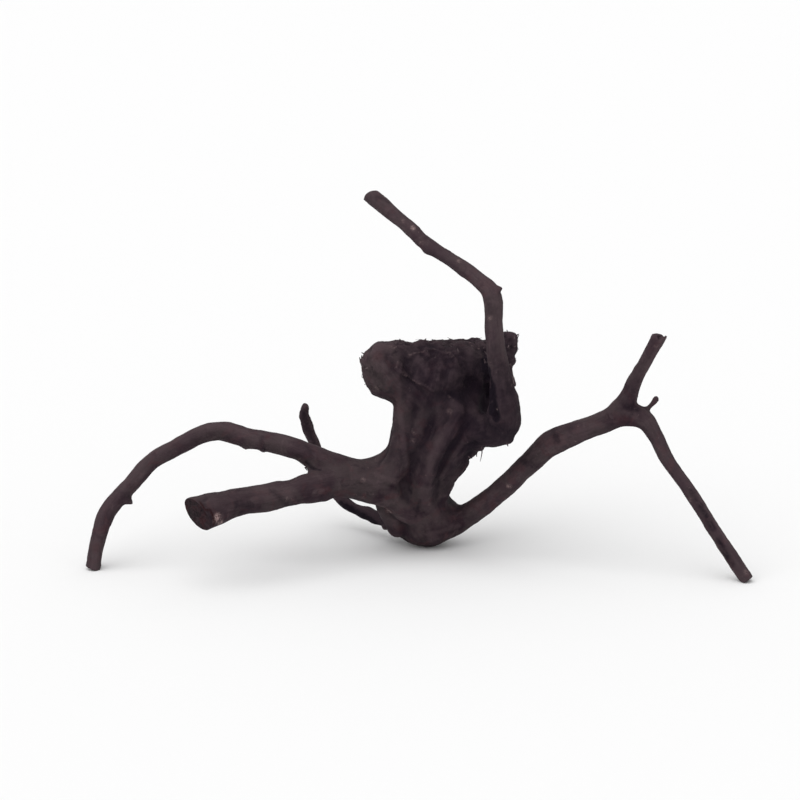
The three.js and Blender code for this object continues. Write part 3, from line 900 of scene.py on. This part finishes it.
class Finish:
    """A material and short ways to add its nodes."""

    def __init__(self, name):
        self.material = bpy.data.materials.new(name)
        self.material.use_nodes = True
        self.nodes = self.material.node_tree.nodes
        self.links = self.material.node_tree.links
        self.shader = self.nodes["Principled BSDF"]

    def add(self, kind, **settings):
        node = self.nodes.new(kind)
        for name, value in settings.items():
            setattr(node, name, value)
        return node

    def join(self, start, end):
        self.links.new(start, end)

    def read(self, name, output="Fac"):
        return self.add("ShaderNodeAttribute", attribute_name=name).outputs[output]

    def noise(self, where, scale, detail=4.0, roughness=0.55, distortion=0.0):
        node = self.add("ShaderNodeTexNoise")
        node.inputs["Scale"].default_value = scale
        node.inputs["Detail"].default_value = detail
        node.inputs["Roughness"].default_value = roughness
        node.inputs["Distortion"].default_value = distortion
        self.join(where, node.inputs["Vector"])
        return node.outputs["Fac"]

    def cells(self, where, scale):
        node = self.add("ShaderNodeTexVoronoi", feature="DISTANCE_TO_EDGE")
        node.inputs["Scale"].default_value = scale
        self.join(where, node.inputs["Vector"])
        return node.outputs["Distance"]

    def steps(self, value, low, high, start=0.0, end=1.0):
        node = self.add("ShaderNodeMapRange", interpolation_type="SMOOTHSTEP")
        node.inputs["From Min"].default_value = low
        node.inputs["From Max"].default_value = high
        node.inputs["To Min"].default_value = start
        node.inputs["To Max"].default_value = end
        self.join(value, node.inputs["Value"])
        return node.outputs["Result"]

    def times(self, first, second):
        node = self.add("ShaderNodeMath", operation="MULTIPLY")
        self.join(first, node.inputs[0])
        if isinstance(second, float):
            node.inputs[1].default_value = second
        else:
            self.join(second, node.inputs[1])
        return node.outputs[0]

    def mix(self, share, first, second):
        node = self.add("ShaderNodeMix", data_type="RGBA")
        self.join(share, node.inputs["Factor"])
        for socket, colour in zip((node.inputs[6], node.inputs[7]), (first, second)):
            if isinstance(colour, tuple):
                socket.default_value = (*colour, 1)
            else:
                self.join(colour, socket)
        return node.outputs[2]

    def bump(self, height, distance, below=None):
        node = self.add("ShaderNodeBump")
        node.inputs["Distance"].default_value = distance
        self.join(height, node.inputs["Height"])
        if below:
            self.join(below, node.inputs["Normal"])
        return node.outputs["Normal"]

    def matt(self, roughness, shine):
        self.shader.inputs["Roughness"].default_value = roughness
        self.shader.inputs["Specular IOR Level"].default_value = shine


def colour_of(red, green, blue):
    """A screen colour, 0 to 255, as the light values that the shader wants."""

    def light(value):
        value /= 255
        return value / 12.92 if value <= 0.04045 else ((value + 0.055) / 1.055) ** 2.4

    return light(red), light(green), light(blue)


# %% Mix the wood
PURPLE_BROWN = colour_of(40, 27, 34)
GREY_BROWN = colour_of(54, 45, 47)
RED_BROWN = colour_of(66, 37, 41)
# Pale bark for pale blotches and streaks, and also for painted light on upward faces and painted highlights.
PALE_BARK_AND_HIGHLIGHT = colour_of(78, 64, 67)
WORN_EDGE = colour_of(84, 68, 73)
DEEP_SHADE = colour_of(18, 9, 20)
# Dark bark for the dark streaks, and also the painted shade over the stump.
DARK_BARK_AND_SHADE = colour_of(28, 17, 27)
RED_RIM = colour_of(36, 8, 12)
SCAR_WOOD = colour_of(160, 136, 134)

wood = Finish("dried root wood")
place = wood.add("ShaderNodeTexCoord").outputs["Object"]
grain = wood.read("grain", "Vector")
sure = wood.read("certainty")
blotch = wood.steps(wood.noise(place, 52, 3, 0.6, 0.5), 0.40, 0.58)
patch = wood.steps(wood.noise(place, 95, 4, 0.62, 0.8), 0.52, 0.66)
pale = wood.steps(wood.noise(place, 75, 5, 0.65, 1.2), 0.54, 0.68)
smudge = wood.steps(wood.noise(place, 130, 4, 0.6, 0.8), 0.55, 0.68)
streak = wood.read("streak")
brush_edge = wood.steps(wood.noise(place, 210, 4, 0.65, 0.8), 0.25, 0.6, 0.25, 1.0)
lines = wood.noise(grain, 900, 5, 0.6, 0.2)
dark_lines = wood.times(wood.steps(lines, 0.50, 0.36), sure)
pale_lines = wood.times(wood.steps(lines, 0.56, 0.74), sure)
speck = wood.steps(wood.noise(place, 560, 3, 0.6, 0.8), 0.64, 0.74)
where_specks = wood.steps(wood.noise(place, 60, 2, 0.5), 0.52, 0.66)
mottle = wood.steps(wood.noise(place, 700, 4, 0.75, 0.6), 0.40, 0.60)
layers = [
    (patch, 0.5, RED_BROWN),
    (pale, 0.5, PALE_BARK_AND_HIGHLIGHT),
    (wood.steps(streak, 0.55, 0.85), 0.4, PALE_BARK_AND_HIGHLIGHT),
    (wood.steps(streak, 0.45, 0.15), 0.4, DARK_BARK_AND_SHADE),
    # painted light on faces that look upwards
    (wood.read("top_light"), 0.35, PALE_BARK_AND_HIGHLIGHT),
    # painted shade over the stump, the head and behind the slender root
    (wood.read("stump"), 0.85, DARK_BARK_AND_SHADE),
    (smudge, 0.4, DEEP_SHADE),
    (dark_lines, 0.14, DEEP_SHADE),
    (pale_lines, 0.14, WORN_EDGE),
    (wood.read("ridge"), 0.3, WORN_EDGE),
    # pale bark and painted highlights from the light strokes
    (wood.times(wood.read("pale_and_highlight_paint"), brush_edge), 0.6, PALE_BARK_AND_HIGHLIGHT),
    # painted shade in the hollows
    (wood.read("hollow_shade"), 0.6, DEEP_SHADE),
    # painted shade, and some dark bark, from the dark strokes
    (wood.times(wood.read("dark_and_shade_paint"), brush_edge), 0.95, DEEP_SHADE),
    (wood.times(speck, where_specks), 0.3, SCAR_WOOD),
    (wood.read("stain"), 1.0, RED_BROWN),
    (wood.times(wood.read("scar"), mottle), 1.0, SCAR_WOOD),
    (wood.read("tear"), 1.0, RED_RIM),
]
colour = wood.mix(blotch, PURPLE_BROWN, GREY_BROWN)
for share, amount, tint in layers:
    colour = wood.mix(wood.times(share, amount), colour, tint)
wood.join(colour, wood.shader.inputs["Base Color"])
wood.join(wood.steps(lines, 0.3, 0.7, 0.95, 0.78), wood.shader.inputs["Roughness"])
wood.shader.inputs["Specular IOR Level"].default_value = 0.14
fibre_relief = wood.bump(wood.times(lines, sure), 0.45 * MM)
pores = wood.bump(wood.noise(place, 620, 6, 0.68, 0.4), 0.4 * MM, below=fibre_relief)
flaky = wood.times(wood.cells(place, 330), wood.read("crumbly"))
crumb_relief = wood.bump(flaky, 0.35 * MM, below=pores)
wood.join(crumb_relief, wood.shader.inputs["Normal"])
print("wood nodes:", len(wood.nodes))

# %% [markdown]
# ## The sawn ends
#
# Three roots end in a saw cut. The cut faces are flat and dark, with fine marks from the saw and a few
# cracks. They are faces of the same skin, with a finish of their own.

# %% Finish the sawn ends
CUT_DARK = colour_of(32, 22, 26)
CUT_WOOD = colour_of(54, 40, 44)
CUT_WARM = colour_of(60, 28, 32)
cut = Finish("sawn end")
cut_place = cut.add("ShaderNodeTexCoord").outputs["Object"]
cut_mottle = cut.steps(cut.noise(cut_place, 240, 5, 0.65, 1.2), 0.34, 0.66)
cut_colour = cut.mix(cut_mottle, CUT_DARK, CUT_WOOD)
cut_warm = cut.steps(cut.noise(cut_place, 160, 3, 0.6, 0.5), 0.48, 0.68)
cut_colour = cut.mix(cut.times(cut_warm, 0.6), cut_colour, CUT_WARM)
cracks = cut.steps(cut.cells(cut_place, 190), 0.0, 0.05, 1.0, 0.0)
cut_colour = cut.mix(cut.times(cracks, 0.5), cut_colour, DEEP_SHADE)
cut.join(cut_colour, cut.shader.inputs["Base Color"])
saw_marks = cut.add("ShaderNodeTexWave", wave_type="BANDS", bands_direction="DIAGONAL")
saw_marks.inputs["Scale"].default_value = 260
saw_marks.inputs["Distortion"].default_value = 3
cut.join(cut_place, saw_marks.inputs["Vector"])
saw_relief = cut.bump(saw_marks.outputs["Fac"], 0.08 * MM)
crack_relief = cut.bump(cut.times(cracks, -1.0), 0.5 * MM, below=saw_relief)
cut.join(cut.bump(cut_mottle, 0.3 * MM, below=crack_relief), cut.shader.inputs["Normal"])
cut.matt(0.9, 0.1)

root.data.materials.clear()
root.data.materials.append(wood.material)
root.data.materials.append(cut.material)
for index in cut_faces:
    root.data.polygons[index].material_index = 1
make_active(root)
bpy.ops.object.shade_smooth_by_angle(angle=math.radians(72))

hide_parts("spiderwood_root")
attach(root, "root")

# %% [markdown]
# ## Loose flakes
#
# The torn head sheds thin curled flakes of bark. One flake is modelled from a small grid: it is narrowed
# towards its tip, curled up and given a thickness. Then it is copied, each copy turned and sized a little
# differently and stuck into the head by its broad end.

# %% Make the flakes
FLAKES = 110
HEAD_END = 0.075
chance = random.Random(11)
skin_tree = skin_seen()


def make_flake():
    bpy.ops.object.select_all(action="DESELECT")
    bpy.ops.mesh.primitive_grid_add(x_subdivisions=6, y_subdivisions=3, size=1)
    flake = bpy.context.active_object
    for vertex in flake.data.vertices:
        along = vertex.co.x + 0.5
        vertex.co.y *= 0.62 * (1 - 0.75 * along**1.6)
        vertex.co.z = 0.42 * along**2 - 0.35 * vertex.co.y**2 + 0.05 * math.sin(9 * vertex.co.y)
        vertex.co.x = along - 0.15
    thickness = flake.modifiers.new("thickness", "SOLIDIFY")
    thickness.thickness = 0.09
    apply_modifier(flake, thickness)
    return flake


def sticking_out(place, normal, turn, tilt, size):
    """A matrix that puts a flake's or fibre's start at a place, leaning out of the surface."""
    side = normal.orthogonal().normalized()
    side.rotate(Matrix.Rotation(turn, 3, normal))
    out = (side * math.cos(tilt) + normal * math.sin(tilt)).normalized()
    across = normal.cross(out).normalized()
    turned = Matrix((out, across, out.cross(across))).transposed().to_4x4()
    return Matrix.Translation(place) @ turned @ Matrix.Diagonal((*size, 1))


def join(pieces, name):
    bpy.ops.object.select_all(action="DESELECT")
    for piece in pieces:
        piece.select_set(True)
    bpy.context.view_layer.objects.active = pieces[0]
    bpy.ops.object.join()
    joined = bpy.context.active_object
    joined.name = name
    joined.data.name = name
    return joined


def join_copies(master, name, spots):
    copies = []
    for matrix in spots:
        mesh = master.data.copy()
        mesh.transform(matrix)
        copies.append(add_object(name, mesh))
    bpy.data.objects.remove(master)
    return join(copies, name)


normals_now = read_normals(root.data)
rough_points = np.flatnonzero((crumbly > 0.75) & (small > 0.03 * MM) & (moved[:, 0] < HEAD_END))
spots = []
for _ in range(FLAKES):
    index = int(rough_points[chance.randrange(len(rough_points))])
    length = chance.uniform(1.2, 3.2) * MM
    size = (length, length * chance.uniform(0.45, 0.85), length * chance.uniform(0.2, 0.6))
    turn = chance.uniform(0, math.tau)
    tilt = chance.uniform(0.0, 0.25)
    spots.append(sticking_out(Vector(moved[index]), Vector(normals_now[index]), turn, tilt, size))
flakes = join_copies(make_flake(), "bark_flakes", spots)
print("flakes:", len(spots), "copies,", len(flakes.data.polygons), "faces")

# %% [markdown]
# ## Splinters and hanging fibres
#
# A few fibres and splinters stand off the wood: some on the head's rim, one that hangs below the shoulder,
# a dark sliver at the right end of the head, and fine hairs all over the torn surface. Each is a short curve
# with a round profile that tapers to its tip, turned into a mesh.

# %% Make the fibres
HAIRS = 20
BEHIND_SKIN = 0.8 * MM
SPLINTERS = [
    ([(366, 356), (363.5, 353.6), (361.5, 352.4)], 0.55),
    ([(364, 360), (361.6, 358), (362, 355)], 0.7),
    ([(396, 344), (395.6, 341.5), (395.3, 339.6)], 0.75),
    ([(400.5, 344), (400, 341), (399.8, 338.8)], 1.1),
    ([(481.5, 446), (482, 452), (481.2, 457), (480.2, 461.5)], 0.5),
    ([(468, 456), (470.5, 457.8), (472.5, 458.2)], 0.55),
    ([(507, 443), (508, 446.4)], 0.7),
    ([(263, 448), (264.4, 452.8)], 0.4),
    ([(128, 500), (131.4, 503.6)], 0.7),
    ([(509, 364), (511, 371), (512.6, 378), (514, 384.5)], 1.25),
    ([(305, 467), (307.2, 470.6)], 0.6),
]


def thread(line, thick):
    """A tapered thread through some points, as a mesh object."""
    curve = bpy.data.curves.new("thread", "CURVE")
    curve.dimensions = "3D"
    curve.bevel_depth = thick
    curve.bevel_resolution = 1
    curve.use_fill_caps = True
    spline = curve.splines.new("POLY")
    spline.points.add(len(line) - 1)
    for i, place in enumerate(line):
        spline.points[i].co = (*place, 1)
        spline.points[i].radius = 1 - 0.7 * i / (len(line) - 1)
    make_active(add_object("thread", curve))
    bpy.ops.object.convert(target="MESH")
    return bpy.context.active_object


def smooth_line(line, count=8):
    """More points along a line, rounded with a Catmull-Rom curve."""
    ends = [line[0] * 2 - line[1], *line, line[-1] * 2 - line[-2]]
    result = []
    for i in range(1, len(ends) - 2):
        before, start, end, after = ends[i - 1 : i + 3]
        for step in range(count // 2):
            t = step / (count // 2)
            result.append(0.5 * (
                2 * start + (end - before) * t + (2 * before - 5 * start + 4 * end - after) * t**2
                + (3 * start - 3 * end + after - before) * t**3
            ))
    return [*result, line[-1]]


threads = []
for line, thick in SPLINTERS:
    depth = (seen_near(*line[0]) - camera.location).dot(forward) + BEHIND_SKIN
    line_places = [camera.location + ray_through(px, py) * depth for px, py in line]
    threads.append(thread(smooth_line(line_places), thick * MM))
for _ in range(HAIRS):
    index = int(rough_points[chance.randrange(len(rough_points))])
    normal = Vector(normals_now[index])
    side = normal.orthogonal().normalized()
    side.rotate(Matrix.Rotation(chance.uniform(0, math.tau), 3, normal))
    length = chance.uniform(1.6, 4.0) * MM
    start = Vector(moved[index])
    bow = chance.uniform(0.08, 0.28) * length
    middle = start + side * length * 0.5 + normal * bow
    end = start + side * length + normal * bow * chance.uniform(-0.2, 1.0)
    threads.append(thread(smooth_line([start, middle, end]), chance.uniform(0.08, 0.16) * MM))
fibres = join(threads, "loose_fibres")
merge_points(fibres)
print("threads:", len(threads), "with", len(fibres.data.polygons), "faces")

# %% Finish the flakes and fibres
FLAKE_DARK = colour_of(44, 33, 38)
FLAKE_PALE = colour_of(86, 73, 76)
litter = Finish("torn bark")
litter_place = litter.add("ShaderNodeTexCoord").outputs["Object"]
litter_mix = litter.steps(litter.noise(litter_place, 260, 3, 0.6), 0.4, 0.65)
litter_colour = litter.mix(litter_mix, FLAKE_DARK, FLAKE_PALE)
litter.join(litter_colour, litter.shader.inputs["Base Color"])
litter_relief = litter.bump(litter.noise(litter_place, 1800, 4, 0.6), 0.15 * MM)
litter.join(litter_relief, litter.shader.inputs["Normal"])
litter.matt(0.85, 0.2)
for piece in (flakes, fibres):
    piece.data.materials.clear()
    piece.data.materials.append(litter.material)
    make_active(piece)
    bpy.ops.object.shade_smooth_by_angle(angle=math.radians(50))
    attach(piece, "root")

# %% [markdown]
# ## Floor and light
#
# The photograph has a plain white background and even, soft light. A large white floor and a bright sky
# give that. The sky is brightest near the horizon, so that the floor's far edge doesn't show. One broad
# light from the upper left front brings out the form.

# %% Build the studio
bpy.ops.object.select_all(action="DESELECT")
bpy.ops.mesh.primitive_circle_add(vertices=96, radius=14, fill_type="NGON", location=(0, 0, 0))
floor = bpy.context.active_object
floor.name = "floor"
paper = Finish("white floor")
paper.shader.inputs["Base Color"].default_value = (0.9, 0.9, 0.9, 1)
paper.matt(0.9, 0.0)
floor.data.materials.append(paper.material)

world = bpy.data.worlds.new("studio")
world.use_nodes = True
sky_nodes = world.node_tree.nodes
sky = sky_nodes["Background"]
sky.inputs["Color"].default_value = (1, 1, 1, 1)
sky_direction = sky_nodes.new("ShaderNodeSeparateXYZ")
sky_fade = sky_nodes.new("ShaderNodeMapRange")
for socket, value in {"From Min": 0.08, "From Max": 0.3, "To Min": 1.0, "To Max": 0.6}.items():
    sky_fade.inputs[socket].default_value = value
world.node_tree.links.new(sky_nodes.new("ShaderNodeTexCoord").outputs["Generated"], sky_direction.inputs[0])
world.node_tree.links.new(sky_direction.outputs["Z"], sky_fade.inputs["Value"])
world.node_tree.links.new(sky_fade.outputs["Result"], sky.inputs["Strength"])
scene.world = world
scene.view_settings.view_transform = "Standard"

broad_light = bpy.data.lights.new("broad light", "SUN")
broad_light.energy = 1.75
broad_light.angle = math.radians(75)
lamp = add_object("broad light", broad_light)
lamp.rotation_euler = Vector((0.35, 0.45, -1)).to_track_quat("-Z", "Y").to_euler()
